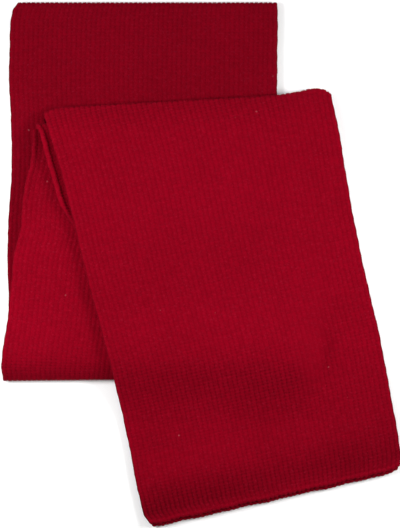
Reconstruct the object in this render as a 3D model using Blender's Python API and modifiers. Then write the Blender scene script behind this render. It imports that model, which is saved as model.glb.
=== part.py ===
"""A knit scarf lying folded on a flat surface: one long knitted strip, folded in half, then twice more.

The two halves of the strip lie on each other as two plies. The doubled strip runs down from its
mid-fold (the back stretch), turns up again at the bottom fold (the middle stretch), turns down at the
front fold (the front stretch), slides off the stack and ends on the surface in two hemmed ends.
Lengths are in millimetres, +Y runs up the back stretch, and the mesh is scaled to metres once.
"""
import math
from collections import namedtuple

import bmesh
import bpy
import numpy as np

MM = 0.001
COLLECTION = "knit_scarf"

PLY = 3.0  # thickness of the knitted cloth
GAP = 0.4  # clearance between one ply and the next
STEP = PLY + GAP  # height of one ply above the one below it
FLOOR_PLY = PLY / 2  # middle of a ply that lies on the surface
LEVEL = {name: FLOOR_PLY + STEP * i for i, name in enumerate(
    ("back_low", "back_top", "middle_low", "middle_top", "front_low", "front_top"))}
SLIDE = 32.0  # distance over which a ply comes down beside the edge of what it lies on
EDGE_CLEAR = 9.0  # it stays level this far past that edge
HEM_RADIUS = 2.0  # cast-off edge of each end
FRONT_LENGTH = 350.0  # front fold to the outside of the top hem, along the middle of the stretch
UNDER_LENGTH = 352.8  # the same for the under ply, whose hem peeps out
PROBE = 1.0  # step in plan over which a slope is measured
FOLD_REACH = 72.0  # how far from a fold's edge its rounding starts
UNDER_TUCK = 0.01  # share of its width that the hidden ply lies inside the one that shows
BACK_TOP_SEAM = 40.0  # where the back stretch stops short of the bottom fold, upper and lower ply
BACK_LOW_SEAM = 12.0
MIDDLE_LOW_SEAM = 30.0  # where the front stretch ends under the middle one
MIDDLE_TOP_SEAM = 25.0  # where the under ply of the front stretch turns into the middle one

Edge = namedtuple("Edge", "along left right")
Bend = namedtuple("Bend", "inset height")
Stretch = namedtuple("Stretch", "origin tilt edges")
Fold = namedtuple("Fold", "point tilt up")

BACK_EDGES = (
    Edge(along=-6.0, left=-108.0, right=114.8),
    Edge(along=0.0, left=-108.5, right=115.2),
    Edge(along=8.0, left=-112.8, right=115.4),
    Edge(along=22.0, left=-114.5, right=115.4),
    Edge(along=72.0, left=-115.7, right=114.6),
    Edge(along=100.0, left=-114.0, right=115.2),
    Edge(along=143.0, left=-113.2, right=115.2),
    Edge(along=172.0, left=-115.4, right=114.6),
    Edge(along=212.0, left=-116.9, right=114.6),
    Edge(along=262.0, left=-116.0, right=114.6),
    Edge(along=297.0, left=-117.6, right=114.8),
    Edge(along=322.0, left=-120.0, right=115.3),
)
MIDDLE_EDGES = (
    Edge(along=-10.0, left=-123.5, right=124.5),
    Edge(along=21.0, left=-126.6, right=121.5),
    Edge(along=38.0, left=-127.2, right=119.5),
    Edge(along=58.0, left=-125.4, right=116.5),
    Edge(along=70.0, left=-125.8, right=114.8),
    Edge(along=84.0, left=-128.2, right=112.8),
    Edge(along=102.0, left=-128.7, right=110.8),
    Edge(along=124.0, left=-127.8, right=109.3),
    Edge(along=140.0, left=-129.8, right=108.5),
    Edge(along=155.0, left=-131.1, right=107.8),
    Edge(along=196.0, left=-130.3, right=106.5),
    Edge(along=243.0, left=-131.2, right=105.5),
    Edge(along=262.0, left=-128.4, right=105.0),
)
FRONT_EDGES = (
    Edge(along=-34.0, left=-117.5, right=125.4),
    Edge(along=-20.0, left=-119.6, right=125.2),
    Edge(along=-8.0, left=-120.0, right=124.9),
    Edge(along=29.0, left=-117.3, right=124.2),
    Edge(along=67.0, left=-116.1, right=122.3),
    Edge(along=94.0, left=-115.8, right=121.1),
    Edge(along=150.0, left=-114.5, right=118.8),
    Edge(along=177.0, left=-113.4, right=118.4),
    Edge(along=222.0, left=-111.6, right=119.0),
    Edge(along=274.0, left=-112.0, right=117.4),
    Edge(along=307.0, left=-112.9, right=116.4),
    Edge(along=338.0, left=-113.0, right=114.2),
    Edge(along=350.0, left=-109.5, right=110.5),
)
UNDER_EDGES = (
    Edge(along=-30.0, left=-127.5, right=124.4),
    Edge(along=-9.0, left=-129.0, right=124.2),
    Edge(along=2.0, left=-127.5, right=123.9),
    Edge(along=34.0, left=-126.2, right=122.8),
    Edge(along=60.0, left=-124.6, right=121.2),
    Edge(along=76.0, left=-120.7, right=120.3),
    Edge(along=94.0, left=-115.4, right=119.6),
    Edge(along=150.0, left=-113.4, right=117.6),
    Edge(along=222.0, left=-110.4, right=117.8),
    Edge(along=274.0, left=-110.8, right=116.2),
    Edge(along=338.0, left=-111.8, right=112.8),
    Edge(along=352.8, left=-107.6, right=108.6),
)

BACK = Stretch(origin=(-48.5, 225.2), tilt=0.0, edges=BACK_EDGES)
MIDDLE = Stretch(origin=(-13.1, 141.0), tilt=-6.3, edges=MIDDLE_EDGES)
FRONT = Stretch(origin=(-13.1, 141.0), tilt=12.7, edges=FRONT_EDGES)
UNDER = Stretch(origin=(-13.1, 141.0), tilt=12.7, edges=UNDER_EDGES)

MID_FOLD = Fold(point=(-48.5, 225.2), tilt=0.0, up=1.0)
FRONT_FOLD = Fold(point=(-13.1, 141.0), tilt=3.2, up=1.0)
BOTTOM_FOLD = Fold(point=(-48.0, -100.0), tilt=0.6, up=-1.0)

MID_BENDS = (
    Bend(72.0, 4.9), Bend(20.0, 4.95), Bend(8.0, 5.0), Bend(4.2, 4.95), Bend(2.0, 4.3), Bend(1.5, 3.2),
    Bend(2.0, 2.1), Bend(4.2, 1.5), Bend(8.0, 1.5), Bend(20.0, 1.5), Bend(72.0, 1.5),
)
FRONT_TOP_BENDS = (
    Bend(72.0, 18.5), Bend(52.0, 18.9), Bend(38.0, 20.2), Bend(28.0, 20.8), Bend(21.0, 20.0),
    Bend(15.0, 18.1), Bend(9.2, 15.5), Bend(4.8, 13.1), Bend(2.3, 11.6), Bend(1.5, 10.1),
    Bend(2.6, 8.8), Bend(4.9, 8.3), Bend(10.0, 8.3), Bend(72.0, 8.3),
)
FRONT_LOW_BENDS = (
    Bend(72.0, 15.1), Bend(52.0, 15.5), Bend(38.0, 16.8), Bend(30.0, 17.2), Bend(24.0, 16.7),
    Bend(18.6, 15.5), Bend(14.9, 14.2), Bend(13.5, 13.1), Bend(14.6, 12.1), Bend(17.6, 11.7),
    Bend(30.0, 11.7), Bend(72.0, 11.7),
)
BOTTOM_TOP_BENDS = (
    Bend(72.0, 11.7), Bend(62.0, 12.1), Bend(50.0, 13.8), Bend(38.0, 16.0), Bend(28.0, 16.8),
    Bend(21.0, 16.3), Bend(15.5, 14.9), Bend(11.0, 12.8), Bend(7.0, 10.0), Bend(3.9, 7.2),
    Bend(1.9, 4.7), Bend(2.0, 2.9), Bend(3.9, 1.7), Bend(7.0, 1.5), Bend(72.0, 1.5),
)
BOTTOM_LOW_BENDS = (
    Bend(72.0, 8.3), Bend(62.0, 8.7), Bend(50.0, 10.4), Bend(38.0, 12.6), Bend(28.0, 13.3),
    Bend(21.8, 12.8), Bend(17.0, 11.4), Bend(13.2, 9.7), Bend(10.4, 7.9), Bend(9.8, 6.4),
    Bend(11.4, 5.1), Bend(14.0, 4.9), Bend(20.0, 4.9), Bend(72.0, 4.9),
)
# The under ply of the front stretch, by its distance inside the bottom fold: over the puffed fold
# and down to the surface.
FRONT_SLIDE = (
    Bend(72.0, 15.1), Bend(62.0, 15.5), Bend(50.0, 17.3), Bend(38.0, 19.5), Bend(28.0, 20.4),
    Bend(20.0, 19.9), Bend(12.0, 17.8), Bend(4.0, 14.4), Bend(-4.0, 10.6), Bend(-12.0, 7.2),
    Bend(-20.0, 4.5), Bend(-28.0, 2.6), Bend(-37.0, 1.6), Bend(-46.0, 1.5), Bend(-200.0, 1.5),
)

COLOURS = {
    "back_stretch": (0.33, 0.004, 0.020),
    "middle_stretch": (0.36, 0.004, 0.022),
    "middle_stretch_under": (0.30, 0.004, 0.018),
    "front_stretch": (0.36, 0.005, 0.022),
    "front_stretch_under": (0.32, 0.004, 0.019),
    "end_hem": (0.38, 0.006, 0.024),
    "end_hem_under": (0.33, 0.005, 0.021),
}
ROUGHNESS = 0.95


def clear_scene():
    for obj in list(bpy.data.objects):
        bpy.data.objects.remove(obj, do_unlink=True)


def scarf_collection():
    collection = bpy.data.collections.new(COLLECTION)
    bpy.context.scene.collection.children.link(collection)
    return collection


def knit_material(name):
    """Matt red knitted yarn."""
    material = bpy.data.materials.new(name)
    material.use_nodes = True
    shader = material.node_tree.nodes["Principled BSDF"]
    shader.inputs["Base Color"].default_value = (*COLOURS[name], 1.0)
    shader.inputs["Roughness"].default_value = ROUGHNESS
    shader.inputs["Metallic"].default_value = 0.0
    return material


def unit(degrees):
    return np.array([math.cos(math.radians(degrees)), math.sin(math.radians(degrees))])


def outward(fold):
    """The direction in plan that points out of a fold."""
    return fold.up * unit(fold.tilt + 90.0)


def column(rows, name, at, by):
    """A column of a table as a smooth function, without overshoot."""
    xs = np.array([getattr(row, by) for row in rows])
    ys = np.array([getattr(row, name) for row in rows])
    order = np.argsort(xs)
    xs = xs[order]
    ys = ys[order]
    at = min(max(at, xs[0]), xs[-1])
    i = min(int(np.searchsorted(xs, at, side="right")) - 1, len(xs) - 2)
    part = (at - xs[i]) / (xs[i + 1] - xs[i])
    chords = np.diff(ys) / np.diff(xs)
    slopes = []
    for k in (i, i + 1):
        inner = 0 < k < len(xs) - 1
        same_way = inner and chords[k - 1] * chords[k] > 0
        slopes.append(2 / (1 / chords[k - 1] + 1 / chords[k]) if same_way else 0.0)
    span = xs[i + 1] - xs[i]
    start = (1 + 2 * part) * (1 - part) ** 2 * ys[i] + part * (1 - part) ** 2 * span * slopes[0]
    end = part ** 2 * (3 - 2 * part) * ys[i + 1] + part ** 2 * (part - 1) * span * slopes[1]
    return float(start + end)


def bend_path(bends, steps=12):
    """A fold's section as a dense smooth curve: distance along it, inset and height."""
    points = np.array(bends, float)
    points = np.vstack([2 * points[0] - points[1], points, 2 * points[-1] - points[-2]])
    curve = []
    for a, b, c, d in zip(points, points[1:], points[2:], points[3:]):
        knots = np.cumsum([0.0] + [math.sqrt(np.linalg.norm(q - p)) for p, q in ((a, b), (b, c), (c, d))])
        for t in np.linspace(knots[1], knots[2], steps, endpoint=False):
            ab = (a * (knots[1] - t) + b * (t - knots[0])) / (knots[1] - knots[0])
            bc = (b * (knots[2] - t) + c * (t - knots[1])) / (knots[2] - knots[1])
            cd = (c * (knots[3] - t) + d * (t - knots[2])) / (knots[3] - knots[2])
            abc = (ab * (knots[2] - t) + bc * (t - knots[0])) / (knots[2] - knots[0])
            bcd = (bc * (knots[3] - t) + cd * (t - knots[1])) / (knots[3] - knots[1])
            curve.append((abc * (knots[2] - t) + bcd * (t - knots[1])) / (knots[2] - knots[1]))
    curve = np.array(curve + [points[-2]])
    curve[:, 1] = np.maximum(curve[:, 1], FLOOR_PLY)
    arc = np.concatenate([[0.0], np.cumsum(np.linalg.norm(np.diff(curve, axis=0), axis=1))])
    return arc, curve[:, 0], curve[:, 1]


def flat_point(stretch, share, along):
    """A point of a stretch in plan: share 0 to 1 from its left edge to its right, along from its fold."""
    left = column(stretch.edges, "left", along, "along")
    right = column(stretch.edges, "right", along, "along")
    across = left + (right - left) * share
    return np.array(stretch.origin) + across * unit(stretch.tilt) + along * unit(stretch.tilt - 90.0)


def inset_of(point, fold):
    return float(-(point - np.array(fold.point)) @ outward(fold))


def along_at(stretch, share, fold, inset):
    """How far along a stretch its point at this share lies this far inside a fold."""
    away = -float(unit(stretch.tilt - 90.0) @ outward(fold))
    along = 0.0
    for _ in range(6):
        along += (inset - inset_of(flat_point(stretch, share, along), fold)) / away
    return along


def wound(point, fold, path):
    """A flat point wound round a fold's section: its new place in plan, and its height."""
    arc, insets, heights = path
    inset = inset_of(point, fold)
    travel = max(insets[0] - inset, 0.0)
    if travel == 0.0:
        return point, float(heights[0])
    new_inset = np.interp(travel, arc, insets)
    return point + (inset - new_inset) * outward(fold), float(np.interp(travel, arc, heights))


def beside(distance):
    """1 on top of an edge, falling smoothly to 0 beyond it."""
    part = min(max((distance - EDGE_CLEAR) / SLIDE, 0.0), 1.0)
    return 1 - part * part * (3 - 2 * part)


def on_back(point):
    along = BACK.origin[1] - point[1]
    return beside(point[0] - BACK.origin[0] - column(BACK_EDGES, "right", along, "along"))


def on_middle(point):
    place = point - np.array(MIDDLE.origin)
    along = float(place @ unit(MIDDLE.tilt - 90.0))
    return beside(float(place @ unit(MIDDLE.tilt)) - column(MIDDLE_EDGES, "right", along, "along"))


def middle_sag(point):
    """How far the middle stretch comes down beyond the right edge of the back one."""
    return 2 * STEP * (1 - on_back(point))


def slope_lift(height_at, point):
    """What a ply rises by, on a slope, to keep its clearance square to the ply below it."""
    here = height_at(point)
    slope_x = height_at(point + (PROBE, 0.0)) - here
    slope_y = height_at(point + (0.0, PROBE)) - here
    return STEP * (math.hypot(1.0, slope_x / PROBE, slope_y / PROBE) - 1.0)


def front_low_height(point):
    """Middle of the under ply where the front stretch lies on the stack, beside it or past it."""
    over = column(FRONT_SLIDE, "height", inset_of(point, BOTTOM_FOLD), "inset")
    share = (over - FLOOR_PLY) / (LEVEL["front_low"] - FLOOR_PLY)
    beside_both = middle_sag(point) + 2 * STEP * (1 - on_middle(point))
    return over - share * (beside_both - 2 * slope_lift(middle_sag, point))


def front_top_height(point):
    return front_low_height(point) + STEP + slope_lift(front_low_height, point)


PATHS = {
    "mid": bend_path(MID_BENDS),
    "front_top": bend_path(FRONT_TOP_BENDS),
    "front_low": bend_path(FRONT_LOW_BENDS),
    "bottom_top": bend_path(BOTTOM_TOP_BENDS),
    "bottom_low": bend_path(BOTTOM_LOW_BENDS),
}


def path_rows(path, first, last, spacing, bend_angle):
    """Distances along a fold's section, closer together where it bends."""
    arc, insets, heights = path
    inside = (arc >= first) & (arc <= last)
    arc = arc[inside]
    headings = np.unwrap(np.arctan2(np.diff(heights[inside]), np.diff(insets[inside])))
    turn = np.concatenate([[0.0], np.abs(np.diff(headings)), [0.0]])
    cost = np.cumsum(np.concatenate([[0.0], np.diff(arc) / spacing]) + turn / math.radians(bend_angle))
    count = max(2, int(round(cost[-1])))
    return np.interp(np.linspace(cost[0], cost[-1], count + 1), cost, arc)


def arc_at(path, inset):
    """The distance along a section where it last passes an inset, on its lower side."""
    arc, insets, _ = path
    crossed = np.nonzero(np.diff(np.sign(insets - inset)))[0]
    return float(arc[crossed[-1]])


def sheet(name, collection, shares, rows, place):
    """A cloth wall: a grid whose points are placed at each share of each row, made solid."""
    mesh = bpy.data.meshes.new(name)
    grid = bmesh.new()
    bmesh.ops.create_grid(grid, x_segments=len(shares) - 1, y_segments=len(rows) - 1, size=0.5)
    for vert in grid.verts:
        i = round((vert.co.x + 0.5) * (len(shares) - 1))
        j = round((vert.co.y + 0.5) * (len(rows) - 1))
        vert.co = [value * MM for value in place(shares[i], rows[j])]
    bmesh.ops.recalc_face_normals(grid, faces=grid.faces)
    grid.to_mesh(mesh)
    grid.free()
    obj = bpy.data.objects.new(name, mesh)
    collection.objects.link(obj)
    wall = obj.modifiers.new("cloth", "SOLIDIFY")
    wall.thickness = PLY * MM
    wall.offset = 0.0
    wall.use_even_offset = True
    mesh.materials.append(knit_material(name))
    mesh.shade_smooth()
    mesh.set_sharp_from_angle(angle=math.radians(50))
    return obj


def even(count):
    return [i / count for i in range(count + 1)]


# Columns across a stretch, closer together where it comes down beside the stack, and rows along it.
MIDDLE_SHARES = [0.0, 0.25, 0.5, 0.7, 0.78, 0.84, 0.88, 0.92, 0.96, 1.0]
FRONT_SHARES = [0.0, 0.12, 0.25, 0.38, 0.5] + [0.5 + 0.5 * i / 12 for i in range(1, 13)]
SLIDE_START = 190.0
SLIDE_ROWS = 17
FLAT_ROWS = 5


def back_stretch(collection):
    """Upper ply, mid-fold and lower ply of the back stretch."""
    arc, insets, heights = PATHS["mid"]
    rows = [("top", share) for share in (0.0, 0.34, 0.67)]
    rows += [("fold", at) for at in path_rows(PATHS["mid"], 0.0, arc[-1], 30.0, 16.0)]
    rows += [("low", share) for share in (0.67, 0.34, 0.0)]

    def place(share, row):
        kind, value = row
        if kind == "fold":
            point = flat_point(BACK, share, float(np.interp(value, arc, insets)))
            return (*point, float(np.interp(value, arc, heights)))
        seam = BACK_TOP_SEAM if kind == "top" else BACK_LOW_SEAM
        end = along_at(BACK, share, BOTTOM_FOLD, seam + GAP)
        point = flat_point(BACK, share, end + (FOLD_REACH - end) * value)
        return (*point, LEVEL["back_" + kind])

    return sheet("back_stretch", collection, even(8), rows, place)


def middle_rows(seam, bottom_path, bottom_last):
    """Rows from the seam under the front fold to the end of the bottom fold, as (kind, distance)."""
    rows = [("front", seam + GAP), ("front", (seam + FOLD_REACH) / 2), ("front", FOLD_REACH)]
    rows += [("between", share) for share in (0.33, 0.67)]
    rows += [("bottom", arc) for arc in path_rows(bottom_path, 0.0, bottom_last, 16.0, 20.0)]
    return rows


def middle_along(share, row):
    """The distance along the middle stretch of a row at this share."""
    kind, value = row
    if kind == "front":
        return along_at(MIDDLE, share, FRONT_FOLD, value)
    if kind == "bottom":
        return along_at(MIDDLE, share, BOTTOM_FOLD, FOLD_REACH - value)
    first = along_at(MIDDLE, share, FRONT_FOLD, FOLD_REACH)
    last = along_at(MIDDLE, share, BOTTOM_FOLD, FOLD_REACH)
    return first + (last - first) * value


def middle_sheet(name, collection, shares, seam, bottom_path, bottom_seam, plies_below):
    """One ply of the middle stretch, with its turn of the bottom fold."""
    rows = middle_rows(seam, bottom_path, arc_at(bottom_path, bottom_seam))

    def place(share, row):
        flat = flat_point(MIDDLE, share, middle_along(share, row))
        point, height = wound(flat, BOTTOM_FOLD, bottom_path)
        lift = plies_below * slope_lift(middle_sag, point)
        return (*point, height - middle_sag(point) + lift)

    return sheet(name, collection, shares, rows, place)


def middle_stretch(collection):
    """The ply that shows left of the front stretch, and the outside of the bottom fold."""
    return middle_sheet("middle_stretch", collection, MIDDLE_SHARES, MIDDLE_TOP_SEAM,
                        PATHS["bottom_top"], BACK_LOW_SEAM, 1)


def middle_stretch_under(collection):
    """The hidden ply of the middle stretch, and the inside of the bottom fold."""
    shares = [UNDER_TUCK + (1 - 2 * UNDER_TUCK) * share for share in MIDDLE_SHARES]
    return middle_sheet("middle_stretch_under", collection, shares, MIDDLE_LOW_SEAM,
                        PATHS["bottom_low"], BACK_TOP_SEAM, 0)


def front_sheet(name, collection, stretch, length, path, seam, level, height_at):
    """One ply of the front stretch, from its hem over the stack and round its fold."""
    hem_end = length - 2 * HEM_RADIUS - GAP
    rows = [("slide", i / SLIDE_ROWS) for i in range(SLIDE_ROWS)]
    rows += [("flat", i / FLAT_ROWS) for i in range(FLAT_ROWS)]
    rows += [("fold", arc) for arc in path_rows(path, 0.0, arc_at(path, seam), 18.0, 21.0)]

    def place(share, row):
        kind, value = row
        fold_start = along_at(stretch, share, FRONT_FOLD, FOLD_REACH)
        if kind == "slide":
            along = hem_end + (SLIDE_START - hem_end) * value
        elif kind == "flat":
            along = SLIDE_START + (fold_start - SLIDE_START) * value
        else:
            along = along_at(stretch, share, FRONT_FOLD, FOLD_REACH - value)
        point, height = wound(flat_point(stretch, share, along), FRONT_FOLD, path)
        below = (level - height) * (1 + slope_lift(middle_sag, point) / STEP)
        return (*point, height_at(point) - below)

    return sheet(name, collection, FRONT_SHARES, rows, place)


def front_stretch(collection):
    """The top ply, with the outside of the front fold."""
    return front_sheet("front_stretch", collection, FRONT, FRONT_LENGTH, PATHS["front_top"],
                       MIDDLE_LOW_SEAM, LEVEL["front_top"], front_top_height)


def front_stretch_under(collection):
    """The ply below it, which shows as a strip at the left, with the inside of the front fold."""
    return front_sheet("front_stretch_under", collection, UNDER, UNDER_LENGTH, PATHS["front_low"],
                       MIDDLE_TOP_SEAM, LEVEL["front_low"], front_low_height)


def hem(name, collection, stretch, length, height):
    """The cast-off edge: a firm rounded welt along the end of a ply."""
    curve = bpy.data.curves.new(name, "CURVE")
    curve.dimensions = "3D"
    curve.bevel_depth = HEM_RADIUS * MM
    curve.bevel_resolution = 2
    curve.use_fill_caps = True
    spline = curve.splines.new("POLY")
    shares = even(14)
    spline.points.add(len(shares) - 1)
    for share, point in zip(shares, spline.points):
        place = flat_point(stretch, share, length - HEM_RADIUS)
        point.co = (place[0] * MM, place[1] * MM, height * MM, 1.0)
    curve.materials.append(knit_material(name))
    obj = bpy.data.objects.new(name, curve)
    collection.objects.link(obj)
    return obj


def main():
    clear_scene()
    collection = scarf_collection()
    back_stretch(collection)
    middle_stretch(collection)
    middle_stretch_under(collection)
    front_stretch(collection)
    front_stretch_under(collection)
    hem("end_hem", collection, FRONT, FRONT_LENGTH, 3 * HEM_RADIUS + GAP)
    hem("end_hem_under", collection, UNDER, UNDER_LENGTH, HEM_RADIUS)


main()
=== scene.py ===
"""Looks of the folded knit scarf: each stretch as knitted cloth, stitch by stitch, over its CAD solid.

The strip's map (stretches, folds, drape) repeats part.py's: lengths are in millimetres, +Y runs up
the back stretch, and a point is given by its share across a stretch and its distance along it. The
meshes are scaled to metres once. A stitch is one wale wide and one course long.
"""
import math
from collections import namedtuple

import bpy
import numpy as np
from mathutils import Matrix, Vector


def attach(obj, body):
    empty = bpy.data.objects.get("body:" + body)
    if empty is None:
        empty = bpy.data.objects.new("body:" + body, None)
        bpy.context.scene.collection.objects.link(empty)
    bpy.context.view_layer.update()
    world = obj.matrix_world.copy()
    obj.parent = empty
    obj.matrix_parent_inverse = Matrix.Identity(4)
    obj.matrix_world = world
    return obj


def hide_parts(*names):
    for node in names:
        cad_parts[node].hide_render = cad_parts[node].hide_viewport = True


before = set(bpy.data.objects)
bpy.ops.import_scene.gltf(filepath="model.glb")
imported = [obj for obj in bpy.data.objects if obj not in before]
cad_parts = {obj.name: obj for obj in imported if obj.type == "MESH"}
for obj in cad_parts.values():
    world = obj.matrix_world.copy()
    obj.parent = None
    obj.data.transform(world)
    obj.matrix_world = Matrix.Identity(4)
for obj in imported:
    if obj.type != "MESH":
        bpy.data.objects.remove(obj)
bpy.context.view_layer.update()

MM = 0.001
PLY = 3.0  # thickness of the knitted cloth
GAP = 0.4  # clearance between one ply and the next
STEP = PLY + GAP
FLOOR_PLY = PLY / 2  # height of the middle of a ply that lies on the surface
FRONT_LOW_LEVEL = FLOOR_PLY + 4 * STEP  # the front stretch's two plies lie on four others
FRONT_TOP_LEVEL = FLOOR_PLY + 5 * STEP
SLIDE = 32.0  # distance over which a ply comes down beside the edge of what it lies on
EDGE_CLEAR = 9.0  # it stays level this far past that edge
HEM_RADIUS = 2.0
FRONT_LENGTH = 350.0  # front fold to the outside of the top hem
UNDER_LENGTH = 352.8  # and to that of the under one
PROBE = 1.0  # step over which a slope is measured
FOLD_REACH = 72.0  # how far from a fold's edge its rounding starts
UNDER_TUCK = 0.01  # share of its width that the hidden ply lies inside the one that shows
BACK_TOP_SEAM = 40.0
BACK_LOW_SEAM = 12.0
MIDDLE_TOP_SEAM = 18.2  # under the inner front fold, where its ply has come level
CUT_GAP = 0.06  # between two pieces of the same ply, where the cloth runs on

WALES = 56  # columns of stitches across the scarf
COURSE = 2.87  # length of one stitch
WALE = 4.07  # width of one stitch
RELIEF = 1.15  # from the top of a stitch down to the furrow between two
RIM = 1.5  # radius of a ply's rounded edges
RIM_STEP = 0.28  # first row inside such an edge

Stretch = namedtuple("Stretch", "origin tilt left right")
Fold = namedtuple("Fold", "point tilt up")
Side = namedtuple("Side", "wale kind along phase round_last")  # one face's stitches

# A stretch's side edges: distance along it from its fold, then its left and its right edge.
LEFT, RIGHT = 1, 2
BACK_EDGES = (
    (-6.0, -108.0, 114.8), (0.0, -108.5, 115.2), (8.0, -112.8, 115.4), (22.0, -114.5, 115.4),
    (72.0, -115.7, 114.6), (100.0, -114.0, 115.2), (143.0, -113.2, 115.2), (172.0, -115.4, 114.6),
    (212.0, -116.9, 114.6), (262.0, -116.0, 114.6), (297.0, -117.6, 114.8), (322.0, -120.0, 115.3),
)
MIDDLE_EDGES = (
    (-10.0, -123.5, 124.5), (21.0, -126.6, 121.5), (38.0, -127.2, 119.5), (58.0, -125.4, 116.5),
    (70.0, -125.8, 114.8), (84.0, -128.2, 112.8), (102.0, -128.7, 110.8), (124.0, -127.8, 109.3),
    (140.0, -129.8, 108.5), (155.0, -131.1, 107.8), (196.0, -130.3, 106.5), (243.0, -131.2, 105.5),
    (262.0, -128.4, 105.0),
)
FRONT_EDGES = (
    (-34.0, -117.5, 125.4), (-20.0, -119.6, 125.2), (-8.0, -120.0, 124.9), (29.0, -117.3, 124.2),
    (67.0, -116.1, 122.3), (94.0, -115.8, 121.1), (150.0, -114.5, 118.8), (177.0, -113.4, 118.4),
    (222.0, -111.6, 119.0), (274.0, -112.0, 117.4), (307.0, -112.9, 116.4), (338.0, -113.0, 114.2),
    (350.0, -109.5, 110.5),
)
UNDER_EDGES = (
    (-30.0, -127.5, 124.4), (-9.0, -129.0, 124.2), (2.0, -127.5, 123.9), (34.0, -126.2, 122.8),
    (60.0, -124.6, 121.2), (76.0, -120.7, 120.3), (94.0, -115.4, 119.6), (150.0, -113.4, 117.6),
    (222.0, -110.4, 117.8), (274.0, -110.8, 116.2), (338.0, -111.8, 112.8), (352.8, -107.6, 108.6),
)

# A fold's section: distance inside its edge, then the height of the middle of the ply.
HEIGHT = 1
MID_BENDS = (
    (72.0, 4.9), (20.0, 4.95), (8.0, 5.0), (4.2, 4.95), (2.0, 4.3), (1.5, 3.2), (2.0, 2.1), (4.2, 1.5),
    (8.0, 1.5), (20.0, 1.5), (72.0, 1.5),
)
FRONT_TOP_BENDS = (
    (72.0, 18.5), (52.0, 18.9), (38.0, 20.2), (28.0, 20.8), (21.0, 20.0), (15.0, 18.1), (9.2, 15.5),
    (4.8, 13.1), (2.3, 11.6), (1.5, 10.1), (2.6, 8.8), (4.9, 8.3), (10.0, 8.3), (72.0, 8.3),
)
FRONT_LOW_BENDS = (
    (72.0, 15.1), (52.0, 15.5), (38.0, 16.8), (30.0, 17.2), (24.0, 16.7), (18.6, 15.5), (14.9, 14.2),
    (13.5, 13.1), (14.6, 12.1), (17.6, 11.7), (30.0, 11.7), (72.0, 11.7),
)
BOTTOM_TOP_BENDS = (
    (72.0, 11.7), (62.0, 12.1), (50.0, 13.8), (38.0, 16.0), (28.0, 16.8), (21.0, 16.3), (15.5, 14.9),
    (11.0, 12.8), (7.0, 10.0), (3.9, 7.2), (1.9, 4.7), (2.0, 2.9), (3.9, 1.7), (7.0, 1.5), (72.0, 1.5),
)
BOTTOM_LOW_BENDS = (
    (72.0, 8.3), (62.0, 8.7), (50.0, 10.4), (38.0, 12.6), (28.0, 13.3), (21.8, 12.8), (17.0, 11.4),
    (13.2, 9.7), (10.4, 7.9), (9.8, 6.4), (11.4, 5.1), (14.0, 4.9), (20.0, 4.9), (72.0, 4.9),
)
# The under ply of the front stretch, by its distance inside the bottom fold.
FRONT_SLIDE = (
    (72.0, 15.1), (62.0, 15.5), (50.0, 17.3), (38.0, 19.5), (28.0, 20.4), (20.0, 19.9), (12.0, 17.8),
    (4.0, 14.4), (-4.0, 10.6), (-12.0, 7.2), (-20.0, 4.5), (-28.0, 2.6), (-37.0, 1.6), (-46.0, 1.5),
    (-200.0, 1.5),
)


# ---- The strip's map, for whole arrays of points ----

def unit(degrees):
    return np.array([math.cos(math.radians(degrees)), math.sin(math.radians(degrees))])


def smooth_column(rows, column):
    """A column of a table as a smooth function of its first one, without overshoot."""
    rows = np.array(sorted(rows))
    xs, ys = rows[:, 0], rows[:, column]
    chords = np.diff(ys) / np.diff(xs)
    slopes = np.zeros(len(xs))
    for k in range(1, len(xs) - 1):
        if chords[k - 1] * chords[k] > 0:
            slopes[k] = 2 / (1 / chords[k - 1] + 1 / chords[k])

    def value(at):
        at = np.clip(at, xs[0], xs[-1])
        i = np.clip(np.searchsorted(xs, at, side="right") - 1, 0, len(xs) - 2)
        span = xs[i + 1] - xs[i]
        part = (at - xs[i]) / span
        rest = 1 - part
        start = (1 + 2 * part) * rest ** 2 * ys[i] + part * rest ** 2 * span * slopes[i]
        end = part ** 2 * (3 - 2 * part) * ys[i + 1] - part ** 2 * rest * span * slopes[i + 1]
        return start + end

    return value


def stretch_of(origin, tilt, edges):
    return Stretch(np.array(origin), tilt, smooth_column(edges, LEFT), smooth_column(edges, RIGHT))


def between(first, last, start, end, at):
    """A point on the line through two others, which it passes at start and at end."""
    return (first * (end - at) + last * (at - start)) / (end - start)


def bend_path(bends, steps=24):
    """A fold's section as a dense smooth curve: distance along it, inset and height."""
    points = np.array(bends, float)
    points = np.vstack([2 * points[0] - points[1], points, 2 * points[-1] - points[-2]])
    curve = []
    for a, b, c, d in zip(points, points[1:], points[2:], points[3:]):
        lengths = [math.sqrt(np.linalg.norm(q - p)) for p, q in ((a, b), (b, c), (c, d))]
        at_a, at_b, at_c, at_d = np.cumsum([0.0] + lengths)
        for t in np.linspace(at_b, at_c, steps, endpoint=False):
            ab = between(a, b, at_a, at_b, t)
            bc = between(b, c, at_b, at_c, t)
            cd = between(c, d, at_c, at_d, t)
            abc = between(ab, bc, at_a, at_c, t)
            bcd = between(bc, cd, at_b, at_d, t)
            curve.append(between(abc, bcd, at_b, at_c, t))
    curve = np.array(curve + [points[-2]])
    curve[:, 1] = np.maximum(curve[:, 1], FLOOR_PLY)
    arc = np.concatenate([[0.0], np.cumsum(np.linalg.norm(np.diff(curve, axis=0), axis=1))])
    return arc, curve[:, 0], curve[:, 1]


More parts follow.
